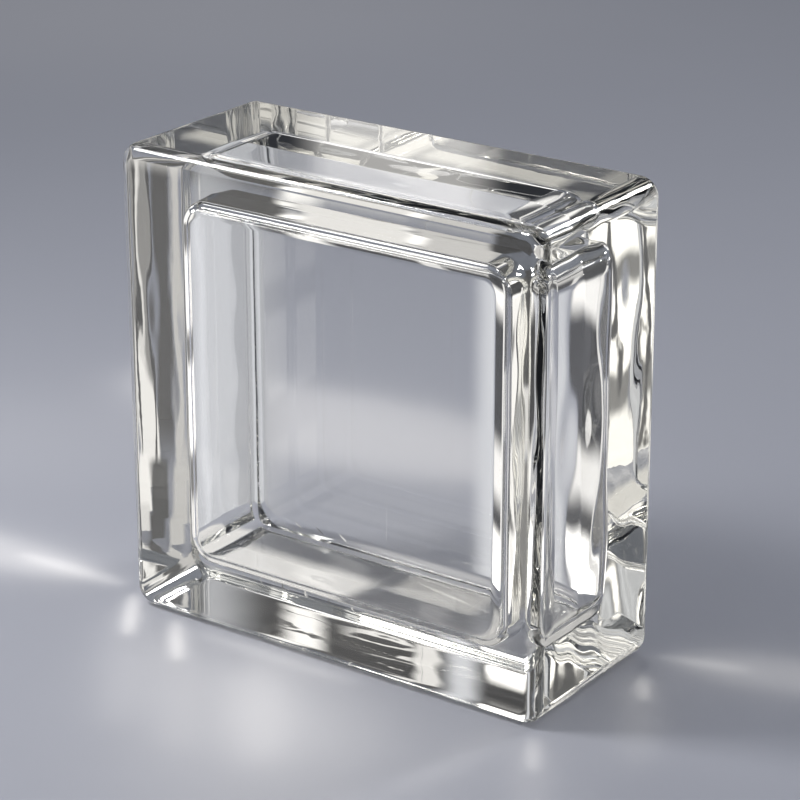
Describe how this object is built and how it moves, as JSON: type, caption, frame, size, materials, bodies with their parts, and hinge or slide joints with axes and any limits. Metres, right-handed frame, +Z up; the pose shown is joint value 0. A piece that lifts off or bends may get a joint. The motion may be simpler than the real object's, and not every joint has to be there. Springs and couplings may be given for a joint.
{
  "type": "hollow glass block",
  "caption": "Square hollow glass wall block with thick clear panes, thick side walls and rounded edges, standing on one narrow side.",
  "frame": {"origin": "centre of the narrow side that the block stands on", "axes": "+Z up, X across the face, -Y out of the front pane, seam at Y = 0"},
  "size_m": [0.19, 0.08, 0.19],
  "materials": {
    "clear_glass": "clear, smooth, fire-polished"
  },
  "bodies": {
    "root": {"front_half": "clear_glass", "back_half": "clear_glass"}
  },
  "joints": []
}
